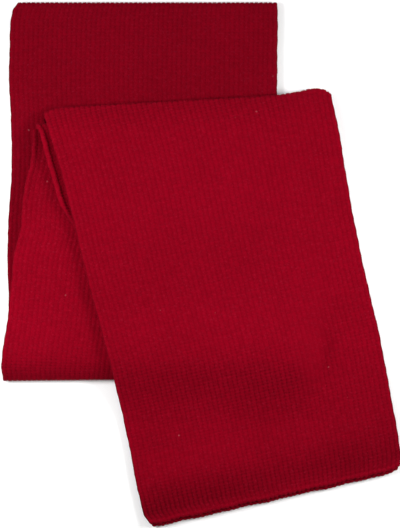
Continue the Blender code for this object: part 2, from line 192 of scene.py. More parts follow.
BACK = stretch_of((-48.5, 225.2), 0.0, BACK_EDGES)
MIDDLE = stretch_of((-13.1, 141.0), -6.3, MIDDLE_EDGES)
FRONT = stretch_of((-13.1, 141.0), 12.7, FRONT_EDGES)
UNDER = stretch_of((-13.1, 141.0), 12.7, UNDER_EDGES)
FRONT_FOLD = Fold(point=np.array((-13.1, 141.0)), tilt=3.2, up=1.0)
BOTTOM_FOLD = Fold(point=np.array((-48.0, -100.0)), tilt=0.6, up=-1.0)
PATHS = {
    "mid": bend_path(MID_BENDS),
    "front_top": bend_path(FRONT_TOP_BENDS),
    "front_low": bend_path(FRONT_LOW_BENDS),
    "bottom_top": bend_path(BOTTOM_TOP_BENDS),
    "bottom_low": bend_path(BOTTOM_LOW_BENDS),
}
slide_height = smooth_column(FRONT_SLIDE, HEIGHT)


def outward(fold):
    """The direction in plan that points out of a fold."""
    return fold.up * unit(fold.tilt + 90.0)


def edge_ripple(along, side):
    """Small waves of a cloth's free side edge."""
    slow = 0.30 * np.sin(along / 9.3 + 2.1 * side) * np.sin(along / 23.0 + side)
    return slow + 0.16 * np.sin(along / 1.9 + 1.3 * side + np.sin(along / 11.0))


def flat_point(stretch, share, along):
    """A point of a stretch in plan: share 0 to 1 from its left edge to its right, along from its fold."""
    left = stretch.left(along) + edge_ripple(along, 1)
    right = stretch.right(along) + edge_ripple(along, 2)
    across = left + (right - left) * share
    down = along[..., None] * unit(stretch.tilt - 90.0)
    return stretch.origin + across[..., None] * unit(stretch.tilt) + down


def inset_of(point, fold):
    return -(point - fold.point) @ outward(fold)


def along_at(stretch, share, fold, inset):
    """How far along a stretch its points at these shares lie this far inside a fold."""
    away = -float(unit(stretch.tilt - 90.0) @ outward(fold))
    along = np.zeros(np.broadcast(share, inset).shape)
    for _ in range(6):
        along = along + (inset - inset_of(flat_point(stretch, share, along), fold)) / away
    return along


def wound(point, fold, path):
    """Flat points wound round a fold's section: their new places in plan, and their heights."""
    arc, insets, heights = path
    inset = inset_of(point, fold)
    travel = np.maximum(insets[0] - inset, 0.0)
    moved = np.where(travel > 0, inset - np.interp(travel, arc, insets), 0.0)
    return point + moved[..., None] * outward(fold), np.interp(travel, arc, heights)


def arc_at(path, inset):
    """The distance along a section where it last passes an inset, on its lower side."""
    arc, insets, _ = path
    crossed = np.nonzero(np.diff(np.sign(insets - inset)))[0]
    return float(arc[crossed[-1]])


def smoothstep(part):
    part = np.clip(part, 0.0, 1.0)
    return part * part * (3 - 2 * part)


def beside(distance):
    """1 on top of an edge, falling smoothly to 0 beyond it."""
    return 1 - smoothstep((distance - EDGE_CLEAR) / SLIDE)


def on_back(point):
    along = BACK.origin[1] - point[..., 1]
    return beside(point[..., 0] - BACK.origin[0] - BACK.right(along))


def on_middle(point):
    place = point - MIDDLE.origin
    along = place @ unit(MIDDLE.tilt - 90.0)
    return beside(place @ unit(MIDDLE.tilt) - MIDDLE.right(along))


def middle_sag(point):
    """How far the middle stretch comes down beyond the right edge of the back one."""
    return 2 * STEP * (1 - on_back(point))


def slope_lift(height_at, point):
    """What a ply rises by, on a slope, to keep its clearance square to the ply below it."""
    here = height_at(point)
    slope_x = (height_at(point + (PROBE, 0.0)) - here) / PROBE
    slope_y = (height_at(point + (0.0, PROBE)) - here) / PROBE
    return STEP * (np.sqrt(1 + slope_x ** 2 + slope_y ** 2) - 1)


def front_low_height(point):
    """Middle of the under ply where the front stretch lies on the stack, beside it or past it."""
    over = slide_height(inset_of(point, BOTTOM_FOLD))
    share = (over - FLOOR_PLY) / (FRONT_LOW_LEVEL - FLOOR_PLY)
    beside_both = middle_sag(point) + 2 * STEP * (1 - on_middle(point))
    return over - share * (beside_both - 2 * slope_lift(middle_sag, point))


def front_top_height(point):
    return front_low_height(point) + STEP + slope_lift(front_low_height, point)


# ---- Softness that the plain solids leave out ----

UNEVEN = 0.035  # how much the stack swells and sinks, as a share of its height
PUFF_START = 64.0  # the top ply stands off the one below it from this far before its hem
PUFF_PEAK = 36.0
PUFF_END = 9.0
PUFF_HEIGHT = 4.2
PUFF_LEFT = 0.10  # shares of the width over which that sinks towards each side
PUFF_RIGHT = 0.22

# Places where the front fold bows out in plan, or draws in.
Bulge = namedtuple("Bulge", "push x y width_x width_y")
FOLD_BULGES = (
    Bulge(push=5.0, x=105.0, y=150.0, width_x=24.0, width_y=17.0),
    Bulge(push=-14.0, x=122.0, y=150.0, width_x=11.0, width_y=17.0),
    Bulge(push=-4.0, x=-136.0, y=134.0, width_x=9.0, width_y=13.0),
)

# What stands up along a left edge: how far inside the edge its crest lies, how wide it is, where along
# the stretch it is at its full height, and the distance over which it fades beyond that.
EdgeLift = namedtuple("EdgeLift", "height inside width low high soft")
MIDDLE_ROLL = EdgeLift(height=1.4, inside=1.6, width=3.0, low=44.0, high=88.0, soft=24.0)
UNDER_STRIP = EdgeLift(height=2.7, inside=1.8, width=2.6, low=8.0, high=62.0, soft=20.0)
TOP_LIP = EdgeLift(height=1.5, inside=1.5, width=6.0, low=6.0, high=70.0, soft=22.0)

LOW_TUCK = 0.03  # added to the hidden ply's tuck at the left, where it lies back under the bottom fold
LOW_TUCK_START = 225.0
LOW_TUCK_REACH = 30.0
WELT_RISE = 1.0  # the top ply comes up by this to meet its welt
WELT_RISE_START = 12.0
WELT_RISE_REACH = 9.0


def swell(point):
    """The stack's uneven softness, in plan: about -1 to 1."""
    x = point[..., 0]
    y = point[..., 1]
    broad = np.sin(x / 31.0 + 0.8 * np.sin(y / 47.0)) * np.cos(y / 38.0 + 0.5)
    fine = np.sin(x / 13.0 - y / 19.0 + 1.0) * np.sin(y / 11.0 + x / 29.0)
    return 0.7 * broad + 0.3 * fine


def bump_at(distance, centre, width):
    return np.exp(-((distance - centre) / width) ** 2)


def fold_bulge(point):
    """How far the front fold bows out near its right end, in plan, and draws in at its corners."""
    x, y = point[..., 0], point[..., 1]
    return sum(b.push * bump_at(x, b.x, b.width_x) * bump_at(y, b.y, b.width_y) for b in FOLD_BULGES)


def place_softly(point, height):
    """Points in space from a place in plan and a height, with the stack's unevenness."""
    soft = FLOOR_PLY + (height - FLOOR_PLY) * (1 + UNEVEN * swell(point))
    return np.stack([point[..., 0], point[..., 1] + fold_bulge(point), soft], axis=-1)


def hem_puff(share, along, length):
    """How far the top ply stands off the under one near its hem, most at the left."""
    from_hem = length - along
    rise = smoothstep((PUFF_START - from_hem) / (PUFF_START - PUFF_PEAK))
    fall = smoothstep((from_hem - PUFF_END) / (PUFF_PEAK - PUFF_END))
    sides = smoothstep(share / PUFF_LEFT) * smoothstep((1 - share) / PUFF_RIGHT)
    strength = 1.0 - 0.45 * share + 0.12 * np.sin(9.0 * share + 0.7)
    return PUFF_HEIGHT * rise * fall * sides * strength


def back_place(share, along):
    """The back stretch: along is measured on the cloth, from the bottom end of its upper ply at
    positive values, round the mid-fold, to the end of its lower ply at negative ones."""
    arc, insets, heights = PATHS["mid"]
    travel = FOLD_REACH - along
    inset = np.interp(travel, arc, insets)
    inset = np.where(travel < 0, along, np.where(travel > arc[-1], FOLD_REACH + travel - arc[-1], inset))
    point = flat_point(BACK, share, inset)
    return place_softly(point, np.interp(travel, arc, heights))


def edge_lift(lift, share, along):
    """How far a left edge stands up at each point."""
    crest = lift.height * bump_at(share * WALES * WALE, lift.inside, lift.width)
    starts = smoothstep((along - lift.low) / lift.soft + 1)
    return crest * starts * smoothstep((lift.high - along) / lift.soft + 1)


def under_tuck(share, along):
    """The hidden ply's share, drawn in a little, and more where it lies back under the bottom fold."""
    left = UNDER_TUCK + LOW_TUCK * smoothstep((along - LOW_TUCK_START) / LOW_TUCK_REACH)
    return left + (1 - left - UNDER_TUCK) * share


def middle_place(share, along):
    """The ply that shows; its left edge rolls up below the front fold, with a hollow inside it."""
    flat = flat_point(MIDDLE, share, along)
    point, height = wound(flat, BOTTOM_FOLD, PATHS["bottom_top"])
    lift = slope_lift(middle_sag, point) + edge_lift(MIDDLE_ROLL, share, along)
    return place_softly(point, height - middle_sag(point) + lift)


def middle_under_place(share, along):
    flat = flat_point(MIDDLE, under_tuck(share, along), along)
    point, height = wound(flat, BOTTOM_FOLD, PATHS["bottom_low"])
    return place_softly(point, height - middle_sag(point))


def front_height(point, height, level, height_at):
    """A front ply's height: its fold's section hangs from the height of its flat part."""
    below = (level - height) * (1 + slope_lift(middle_sag, point) / STEP)
    return height_at(point) - below


def front_place(share, along):
    """The top ply; its left edge is a low lip."""
    point, height = wound(flat_point(FRONT, share, along), FRONT_FOLD, PATHS["front_top"])
    height = front_height(point, height, FRONT_TOP_LEVEL, front_top_height)
    into_welt = smoothstep((along - FRONT_LENGTH + WELT_RISE_START) / WELT_RISE_REACH)
    height = height + edge_lift(TOP_LIP, share, along) + WELT_RISE * into_welt
    return place_softly(point, height + hem_puff(share, along, FRONT_LENGTH))


def front_under_place(share, along):
    """The ply under it; the strip that shows at its left edge stands up beside the top ply."""
    point, height = wound(flat_point(UNDER, share, along), FRONT_FOLD, PATHS["front_low"])
    height = front_height(point, height, FRONT_LOW_LEVEL, front_low_height)
    return place_softly(point, height + edge_lift(UNDER_STRIP, share, along))


# ---- Stitches ----

# Columns of a wale: the furrow beside it, its left leg, the furrow between its legs, its right leg.
# The legs spread from the foot of the V to its top, over the three rows of a course.
FURROW, LEFT_LEG, MIDDLE_FURROW, RIGHT_LEG, PLAIN = range(5)
Leg = namedtuple("Leg", "spread furrow leg middle")
COURSE_ROWS = (
    Leg(spread=0.14, furrow=0.00, leg=0.55, middle=0.50),
    Leg(spread=0.21, furrow=0.02, leg=1.00, middle=0.70),
    Leg(spread=0.31, furrow=0.14, leg=0.92, middle=0.42),
)
PLAIN_ROW = Leg(spread=0.22, furrow=0.06, leg=0.85, middle=0.60)
PLAIN_HEIGHT = 0.6
ROWS = COURSE_ROWS + (PLAIN_ROW,)
FLAT_PHASE = len(COURSE_ROWS)


def wale_columns(first, last, plain_every=0):
    """Columns from one wale to another: four for each, or a plain one every so many wales."""
    if plain_every:
        return [(float(wale), PLAIN) for wale in range(first, last, plain_every)]
    kinds = (FURROW, LEFT_LEG, MIDDLE_FURROW, RIGHT_LEG)
    return [(float(wale), kind) for wale in range(first, last) for kind in kinds]


HIDDEN_COLUMNS = wale_columns(0, WALES, plain_every=2)


def side_columns(left, right):
    """Full wales at both sides, so many of each, and a plain column for every two between them."""
    inner = wale_columns(left, WALES - right, plain_every=2)
    return wale_columns(0, left) + inner + wale_columns(WALES - right, WALES)


def across_the_cloth(columns):
    """Adds both rounded side edges to a list of columns."""
    near = RIM_STEP / WALE
    inner = [column for column in columns if near < column[0] + 0.1 * column[1] < WALES - near]
    inner = [(wale, kind) for wale, kind in inner if not (wale == 0.0 and kind == FURROW)]
    return [(0.0, PLAIN), (near, PLAIN)] + inner + [(WALES - near, PLAIN), (float(WALES), PLAIN)]


def course_rows(first, last, origin):
    """Rows three to a course, on courses counted from origin."""
    count = len(COURSE_ROWS)
    start = math.ceil((first - origin) / COURSE * count)
    end = math.floor((last - origin) / COURSE * count)
    return [(origin + i * COURSE / count, i % count) for i in range(start, end + 1)]


def plain_rows(first, last, spacing):
    count = max(1, round((last - first) / spacing))
    return [(first + (last - first) * i / count, FLAT_PHASE) for i in range(count)]


def banded_rows(*bands):
    """Plain rows over touching bands, each from its start to its end at its spacing, and an end row."""
    rows = [row for first, last, spacing in bands for row in plain_rows(first, last, spacing)]
    return rows + [(bands[-1][1], FLAT_PHASE)]


def side_of(columns, rows, round_last=False):
    """One face's lattice. It is cut square where the cloth runs on in another piece, as it does at its
    first row, and rounded at a hem."""
    first, last = rows[0][0], rows[-1][0]
    last_step = RIM_STEP if round_last else CUT_GAP
    inner = [row for row in rows if first + 1.5 * CUT_GAP < row[0] < last - 1.5 * last_step]
    rows = [(first, FLAT_PHASE), (first + CUT_GAP, FLAT_PHASE)] + inner
    rows += [(last - last_step, FLAT_PHASE), (last, FLAT_PHASE)]
    wale, kind = zip(*across_the_cloth(columns))
    along, phase = zip(*rows)
    return Side(np.array(wale), np.array(kind), np.array(along), np.array(phase), round_last)


def rim_height(distance):
    """A rounded edge's height over the middle of the ply, as a share of it."""
    part = np.clip(distance / RIM, 0.0, 1.0)
    return np.sqrt(1 - (1 - part) ** 2)


def end_height(distance, rounded):
    """The same at an end, which may be cut square."""
    return rim_height(distance) if rounded else np.clip(distance / CUT_GAP, 0.0, 1.0)


def stitch_lattice(side):
    """Each point's wale coordinate, course row and height over the middle of the ply."""
    spread = np.array([row.spread for row in ROWS])[side.phase][:, None]
    offset = {FURROW: 0.0, MIDDLE_FURROW: 0.5, PLAIN: 0.0}
    wale = side.wale[None, :] + np.array([offset.get(kind, 0.5) for kind in side.kind])[None, :]
    wale = wale - spread * (side.kind == LEFT_LEG) + spread * (side.kind == RIGHT_LEG)
    heights = np.array([[row.furrow, row.leg, row.middle, row.leg, PLAIN_HEIGHT] for row in ROWS])
    stitch = heights[side.phase][:, side.kind]
    from_side = np.minimum(wale, WALES - wale) * WALE
    first_end = end_height(side.along - side.along[0], False)
    last_end = end_height(side.along[-1] - side.along, side.round_last)
    rounded = rim_height(from_side) * (first_end * last_end)[:, None]
    return wale, (PLY / 2 - RELIEF * (1 - stitch)) * rounded


def unit_normals(place, share, along):
    """The cloth's normal at each point, towards its outer face."""
    d_share, d_along = 0.004, 0.8
    low_share, high_share = np.clip(share - d_share, 0, 1), np.clip(share + d_share, 0, 1)
    across = place(high_share, along) - place(low_share, along)
    down = place(share, along + d_along) - place(share, along - d_along)
    normal = np.cross(down, across)
    return normal / np.linalg.norm(normal, axis=-1, keepdims=True)


def face_points(place, side, shears, origin, outer):
    """One face's points in space and its stitch coordinates."""
    wale, height = stitch_lattice(side)
    share = wale / WALES
    nominal = np.broadcast_to(side.along[:, None], share.shape)
    along = nominal + sum(shear(share, nominal) for shear in shears)
    normal = unit_normals(place, share, along)
    points = place(share, along) + (height if outer else -height)[..., None] * normal
    return points, wale, (nominal - origin) / COURSE


def quads(index, outer):
    a, b = index[:-1, :-1], index[1:, :-1]
    c, d = index[1:, 1:], index[:-1, 1:]
    return np.stack((a, b, c, d) if outer else (a, d, c, b), axis=-1).reshape(-1, 4)


def zipped(outer, outer_at, inner, inner_at):
    """Triangles between two chains of points that run side by side."""
    faces = []
    i = j = 0
    while i < len(outer) - 1 or j < len(inner) - 1:
        step_outer = j == len(inner) - 1
        if not step_outer and i < len(outer) - 1:
            step_outer = outer_at[i + 1] <= inner_at[j + 1]
        if step_outer:
            faces.append((outer[i], outer[i + 1], inner[j]))
            i += 1
        else:
            faces.append((outer[i], inner[j + 1], inner[j]))
            j += 1
    return faces


def zip_faces(front, front_index, back, back_index):
    """Joins the back face's outermost ring to the front face's edge, all round."""
    f, b = front_index, back_index
    faces = zipped(f[0, :], front.wale, b[0, :], back.wale)
    faces += [face[::-1] for face in zipped(f[-1, :], front.wale, b[-1, :], back.wale)]
    faces += [face[::-1] for face in zipped(f[:, 0], front.along, b[:, 0], back.along)]
    faces += zipped(f[:, -1], front.along, b[:, -1], back.along)
    return faces


def inside_ring(side):
    """A face's lattice without its outermost ring."""
    return side._replace(wale=side.wale[1:-1], along=side.along[1:-1])


def knitted_sheet(name, place, front, back, material, origin, *shears):
    """A closed ply: a front face with its own lattice, a back face, and a rounded rim between them.
    Its courses are counted from origin, and each of the shears moves its rows along the stretch."""
    front_points, front_wale, front_course = face_points(place, front, shears, origin, True)
    back_points, back_wale, back_course = face_points(place, back, shears, origin, False)
    ring = (slice(1, -1), slice(1, -1))
    points = np.concatenate([front_points.reshape(-1, 3), back_points[ring].reshape(-1, 3)])
    wales = np.concatenate([front_wale.ravel(), back_wale[ring].ravel()])
    courses = np.concatenate([front_course.ravel(), back_course[ring].ravel()])
    front_index = np.arange(front_wale.size).reshape(front_wale.shape)
    back_index = front_wale.size + np.arange(back_wale[ring].size).reshape(back_wale[ring].shape)
    squares = np.concatenate([quads(front_index, True), quads(back_index, False)])
    triangles = np.array(zip_faces(front, front_index, inside_ring(back), back_index))
    return mesh_piece(name, points, squares, triangles, np.stack([wales, courses], axis=-1), material)


def placed(name, data):
    """A new object in the scene."""
    made = bpy.data.objects.new(name, data)
    bpy.context.scene.collection.objects.link(made)
    return made


def mesh_piece(name, points, squares, triangles, stitches, material):
    """A smooth mesh object from arrays in millimetres, with a map that counts its stitches."""
    mesh = bpy.data.meshes.new(name)
    corners = np.concatenate([squares.ravel(), triangles.ravel()]).astype(np.int32)
    sizes = np.concatenate([np.full(len(squares), 4), np.full(len(triangles), 3)])
    starts = np.concatenate([[0], np.cumsum(sizes)[:-1]]).astype(np.int32)
    mesh.vertices.add(len(points))
    mesh.vertices.foreach_set("co", (points * MM).astype(np.float32).ravel())
    mesh.loops.add(len(corners))
    mesh.loops.foreach_set("vertex_index", corners)
    mesh.polygons.add(len(sizes))
    mesh.polygons.foreach_set("loop_start", starts)
    mesh.update(calc_edges=True)
    mesh.validate()
    layer = mesh.uv_layers.new(name="stitches")
    layer.uv.foreach_set("vector", stitches[corners].astype(np.float32).ravel())
    mesh.polygons.foreach_set("use_smooth", np.ones(len(sizes), bool))
    mesh.materials.append(material)
    return placed(name, mesh)


# ---- Pieces ----

FRONT_END = -41.0  # the top ply ends here, past the front fold, along its courses
MIDDLE_UNDER_START = 78.0  # the hidden middle ply's first row, before it is leant to its real start
SEAM_CLEAR = 1.5  # the back stretch's straight ends stop this far short of their slanting seams
FOLD_ROWS = 1.9  # between the rows of a hidden face, where it turns a fold
FLAT_ROWS = 8.0  # and where it lies flat
CORNER_DRAW = {"left": 1.4, "right": 3.6}  # how far an end draws in at its corners
CORNER_SHARE = {"left": 0.06, "right": 0.08}  # and over what shares of its width
HEM_REACH = 30.0  # rows this near the hem bend to its curve


def shear_from(left_along, stretch, fold, flat_inset, reach):
    """Leans the rows near one end so that the end runs along a fold; the left edge stays as it is."""

    def shear(share, along):
        end = along_at(stretch, share, fold, flat_inset)
        end_at_left = float(along_at(stretch, np.zeros(1), fold, flat_inset)[0])
        return (end - end_at_left) * smoothstep(1 - np.abs(along - left_along) / reach)

    return shear


def hem_curve(share):
    """How far an end draws in towards its two corners."""
    left = np.clip(1 - share / CORNER_SHARE["left"], 0.0, 1.0)
    right = np.clip(1 - (1 - share) / CORNER_SHARE["right"], 0.0, 1.0)
    return -CORNER_DRAW["left"] * left ** 2 - CORNER_DRAW["right"] * right ** 2


def hem_shear(last):
    """Bends the rows near a hem to its curve."""

    def shear(share, along):
        return hem_curve(share) * smoothstep(1 - (last - along) / HEM_REACH)

    return shear


def front_knit(material):
    """The top ply, with the outside of the front fold: full stitches wherever it shows."""
    first = FRONT_END
    last = FRONT_LENGTH - HEM_RADIUS
    shown_start = -25.0
    fold_end = 60.0
    rows = plain_rows(first, shown_start, COURSE) + course_rows(shown_start, last, last)
    front = side_of(wale_columns(0, WALES), rows, round_last=True)
    back_rows = banded_rows((first, fold_end, FOLD_ROWS), (fold_end, last, FLAT_ROWS))
    back = side_of(HIDDEN_COLUMNS, back_rows, round_last=True)
    return knitted_sheet("front_knit", front_place, front, back, material, last, hem_shear(last))


def front_knit_under(material):
    """The ply below it: stitches on the strip that shows at the left, and ribs on its lower face."""
    flat_inset = FOLD_REACH - arc_at(PATHS["front_low"], MIDDLE_TOP_SEAM)
    first = float(along_at(UNDER, np.zeros(1), FRONT_FOLD, flat_inset)[0])
    last = UNDER_LENGTH - HEM_RADIUS
    fold_end = 70.0
    front = side_of(side_columns(left=8, right=3), course_rows(first, last, last), round_last=True)
    ribs = [(float(wale), kind) for wale in range(WALES) for kind in (FURROW, MIDDLE_FURROW)]
    back_rows = banded_rows((first, fold_end, FOLD_ROWS), (fold_end, last, COURSE))
    back = side_of(ribs, back_rows, round_last=True)
    at_fold = shear_from(first, UNDER, FRONT_FOLD, flat_inset, reach=75.0)
    return knitted_sheet("front_knit_under", front_under_place, front, back, material, last, at_fold,
                         hem_shear(last))


def middle_knit(material):
    """The ply that shows left of the front stretch, and the outside of the bottom fold."""
    start_inset = MIDDLE_TOP_SEAM + CUT_GAP
    first = float(along_at(MIDDLE, np.zeros(1), FRONT_FOLD, start_inset)[0])
    end_inset = FOLD_REACH - arc_at(PATHS["bottom_top"], BACK_LOW_SEAM)
    last = float(along_at(MIDDLE, np.zeros(1), BOTTOM_FOLD, end_inset)[0])
    fold_start = last - 100.0
    columns = side_columns(left=30, right=2)
    front = side_of(columns, course_rows(first, last, first))
    back_rows = banded_rows((first, fold_start, FLAT_ROWS), (fold_start, last, FOLD_ROWS))
    back = side_of(HIDDEN_COLUMNS, back_rows)
    at_start = shear_from(first, MIDDLE, FRONT_FOLD, start_inset, reach=70.0)
    at_end = shear_from(last, MIDDLE, BOTTOM_FOLD, end_inset, reach=80.0)
    return knitted_sheet("middle_knit", middle_place, front, back, material, first, at_start, at_end)


def middle_knit_under(material):
    """The hidden ply of the middle stretch, ribbed at its sides, and the inside of the bottom fold."""
    first = MIDDLE_UNDER_START
    end_inset = FOLD_REACH - arc_at(PATHS["bottom_low"], BACK_TOP_SEAM)
    last = float(along_at(MIDDLE, np.zeros(1), BOTTOM_FOLD, end_inset)[0])
    fold_start = last - 110.0
    reach = 90.0
    rows = banded_rows((first, fold_start, FLAT_ROWS / 2), (fold_start, last, FOLD_ROWS))
    front = side_of(side_columns(left=4, right=3), rows)
    back = side_of(HIDDEN_COLUMNS, rows)
    at_end = shear_from(last, MIDDLE, BOTTOM_FOLD, end_inset, reach)
    start_line = front_end_line()

    def at_start(share, along):
        return (start_line(share) - first) * smoothstep(1 - (along - first) / reach)

    return knitted_sheet("middle_knit_under", middle_under_place, front, back, material, first,
                         at_end, at_start)


def front_end_line():
    """Where the hidden middle ply starts: just past the top ply's end, which runs along its courses."""
    path = PATHS["front_top"]
    flat = flat_point(FRONT, np.array([0.0, 1.0]), np.full(2, FRONT_END))
    place, _ = wound(flat, FRONT_FOLD, path)
    insets = inset_of(place, FRONT_FOLD) + CUT_GAP
    along_fold = (place - FRONT_FOLD.point) @ unit(FRONT_FOLD.tilt)
    lean = (insets[1] - insets[0]) / (along_fold[1] - along_fold[0])

    def start(share):
        along = np.full(share.shape, 50.0)  # a guess, drawn to the line step by step
        for _ in range(12):
            point = flat_point(MIDDLE, UNDER_TUCK + (1 - 2 * UNDER_TUCK) * share, along)
            wanted = insets[0] + lean * ((point - FRONT_FOLD.point) @ unit(FRONT_FOLD.tilt) - along_fold[0])
            along = along + 0.8 * (wanted - inset_of(point, FRONT_FOLD))
        return along

    return start


def back_knit(material):
    """Upper ply, mid-fold and lower ply of the back stretch."""
    sides = np.array([0.0, 1.0])
    top_end = float(np.mean(along_at(BACK, sides, BOTTOM_FOLD, BACK_TOP_SEAM + SEAM_CLEAR)))
    low_end = float(np.mean(along_at(BACK, sides, BOTTOM_FOLD, BACK_LOW_SEAM + SEAM_CLEAR)))
    low_end = FOLD_REACH - (PATHS["mid"][0][-1] + low_end - FOLD_REACH)
    shown_start = -70.0
    shown_end = 218.0
    fold_end = 40.0
    rows = plain_rows(low_end, shown_start, COURSE) + course_rows(shown_start, shown_end - 1.0, 0.0)
    rows += banded_rows((shown_end, top_end, FLAT_ROWS))
    front = side_of(wale_columns(0, WALES), rows)
    back_rows = banded_rows((low_end, -fold_end, FLAT_ROWS), (-fold_end, fold_end, 1.0),
                            (fold_end, top_end, FLAT_ROWS))
    back = side_of(HIDDEN_COLUMNS, back_rows)
    return knitted_sheet("back_knit", back_place, front, back, material, 0.0)


WELT_RADIUS = 2.3
WELT_ROUND = 12  # points round the welt
WELT_STEPS = 6  # rings for each wale
WELT_DENT = 0.24  # depth of the dent between two bumps, as a share of the radius
WELT_SLANT = 1.1  # how far the dents lean, in radians of their wave


def welt_radius(share, turn):
    """A firm rounded welt, with one slanting bump for each wale, slightly uneven, and rounded tips."""
    lean = 2 * np.pi * share[:, None] * WALES + WELT_SLANT * np.sin(turn)[None, :]
    uneven = 0.06 * np.sin(share * 61.0) * np.sin(share * 23.0 + 1.0)
    bumps = 0.96 + uneven[:, None] - WELT_DENT * (0.5 + 0.5 * np.cos(lean)) ** 1.5
    from_tip = np.minimum(share, 1 - share) * WALES * WALE
    return WELT_RADIUS * bumps * rim_height(from_tip)[:, None]


def welt_faces(rings):
    """Squares round the welt, and a fan of triangles to each tip, where a ring shrinks to a point."""
    index = np.arange(rings * WELT_ROUND).reshape(rings, WELT_ROUND)
    index = np.concatenate([index, index[:, :1]], axis=1)
    fans = []
    for ring, tip in ((1, 0), (rings - 2, rings - 1)):
        for a, b in zip(index[ring], index[ring, 1:]):
            fans.append((a, b, index[tip, 0]) if tip else (b, a, index[tip, 0]))
    return quads(index[1:-1], True), np.array(fans)


def welt(name, stretch, length, height, material):
    """The cast-off edge at a stretch's end."""
    rings = WALES * WELT_STEPS + 1
    share = np.linspace(0.0, 1.0, rings)
    turn = np.linspace(0.0, 2 * np.pi, WELT_ROUND, endpoint=False)
    radius = welt_radius(share, turn)
    centre = flat_point(stretch, share, length - HEM_RADIUS + hem_curve(share))
    ripple = 0.5 * np.sin(share * 37.0) * np.sin(share * 11.0) + 0.2 * np.sin(share * 190.0)
    out = unit(stretch.tilt - 90.0)
    plan = centre[:, None, :] + (radius * np.cos(turn) + ripple[:, None])[..., None] * out
    high = height + radius * np.sin(turn)
    points = np.concatenate([plan, high[..., None]], axis=-1).reshape(-1, 3)
    along = (length + HEM_RADIUS * turn) / COURSE
    stitches = np.stack(np.broadcast_arrays(share[:, None] * WALES, along[None, :]), axis=-1)
    stitches = stitches.reshape(-1, 2)
    squares, fans = welt_faces(rings)

    # Each tip keeps one of its ring's points.
    used = np.concatenate([[0], np.arange(WELT_ROUND, (rings - 1) * WELT_ROUND + 1)])
    renumber = np.zeros(len(points), int)
    renumber[used] = np.arange(len(used))
    return mesh_piece(name, points[used], renumber[squares], renumber[fans], stitches[used], material)


# ---- Materials ----

RED = (0.200, 0.0003, 0.0073)
LINT = (0.45, 0.11, 0.13)
YARN_BUMP = 0.00018  # height of the twist and the fibres, in metres
TWIST_ACROSS = 34.0  # radians of a strand's twist for each wale
TWIST_ALONG = 20.0  # and for each course
LEG_SLANT = 0.24  # how far a leg leans over one course, in wales
STITCH_UNEVEN = 0.12  # from the darkest stitch to the lightest
RIM_SHARE = 0.0035  # share of the width that the painted dark edge takes up, at each side
RIM_PAINTED_SHADE = 0.35
HEM_COURSES = 12.0  # painted shade darkens the knit over this many courses before its hem, where it slopes into the groove by the welt
HEM_PAINTED_SHADE = 0.40
HEM_FURROW_SHADE = 0.3
HEM_RIGHT = 0.35  # what is left of that at the right
CORNER_COURSES = 38.0  # painted shade darkens the knit slowly towards the end's right corner, over this many
CORNER_PAINTED_SHADE = 0.19
HOLLOW_COURSES = 34.0  # painted shadow darkens a stretch that starts in a hollow over this many
LINT_SIZE = 0.05  # radius of a speck, as a share of its cell
LINT_RARE = 0.80  # share of the cells that hold none
FUZZ_LEVEL = 0.58  # noise above this is a tuft
FUZZ_MOST = 0.4


def matt_material(name, roughness, specular):
    """A new material, its node tree and its shader."""
    material = bpy.data.materials.new(name)
    material.use_nodes = True
    shader = material.node_tree.nodes["Principled BSDF"]
    shader.inputs["Roughness"].default_value = roughness
    shader.inputs["Specular IOR Level"].default_value = specular
    return material, material.node_tree, shader


def node(tree, kind, **values):
    """A node with its inputs or settings given by name."""
    made = tree.nodes.new(kind)
    for name, value in values.items():
        if name in made.inputs:
            made.inputs[name].default_value = value
        else:
            setattr(made, name, value)
    return made


def maths(tree, operation, first, second=None):
    """A Math node; each input is a socket or a number."""
    made = tree.nodes.new("ShaderNodeMath")
    made.operation = operation
    for socket, value in zip(made.inputs, (first, second)):
        if hasattr(value, "links"):
            tree.links.new(value, socket)
        elif value is not None:
            socket.default_value = value
    return made.outputs[0]


def plus(tree, first, second):
    return maths(tree, "ADD", first, second)


def minus(tree, first, second):
    return maths(tree, "SUBTRACT", first, second)


def times(tree, first, second):
    return maths(tree, "MULTIPLY", first, second)


def from_middle(tree, count):
    """How far a point is from the middle of its stitch: 0 to 0.5."""
    return maths(tree, "ABSOLUTE", minus(tree, maths(tree, "FRACT", count), 0.5))


def ridge(tree, count, sharpness):
    """0 in the middle of each stitch, rising to 1 where it meets the next."""
    return maths(tree, "POWER", times(tree, from_middle(tree, count), 2.0), sharpness)


def before_hem(tree, course, reach):
    """1 at the hem, where courses are counted back from 0, falling to 0 over so many of them."""
    return maths(tree, "MAXIMUM", plus(tree, maths(tree, "DIVIDE", course, reach), 1.0), 0.0)


def hem_nearness(tree, wale, course):
    """Where the painted shade before the hem lies: 1 near the hem falling to 0 before it, less towards the
    right and on the very last courses.
    """
    near = maths(tree, "POWER", before_hem(tree, course, HEM_COURSES), 1.2)
    side = minus(tree, 1.0, maths(tree, "DIVIDE", wale, 0.9 * WALES))
    last_rows = maths(tree, "MINIMUM", times(tree, course, -0.4), 1.0)
    near = times(tree, near, last_rows)
    return times(tree, near, maths(tree, "MAXIMUM", side, HEM_RIGHT))


def painted_rim_shade(tree, wale):
    """Painted shade on the very edge of the cloth, where the yarn turns under, away from the light."""
    middle = minus(tree, maths(tree, "DIVIDE", wale, WALES), 0.5)
    rim = maths(tree, "GREATER_THAN", maths(tree, "ABSOLUTE", middle), 0.5 - RIM_SHARE)
    return minus(tree, 1.0, times(tree, rim, RIM_PAINTED_SHADE))


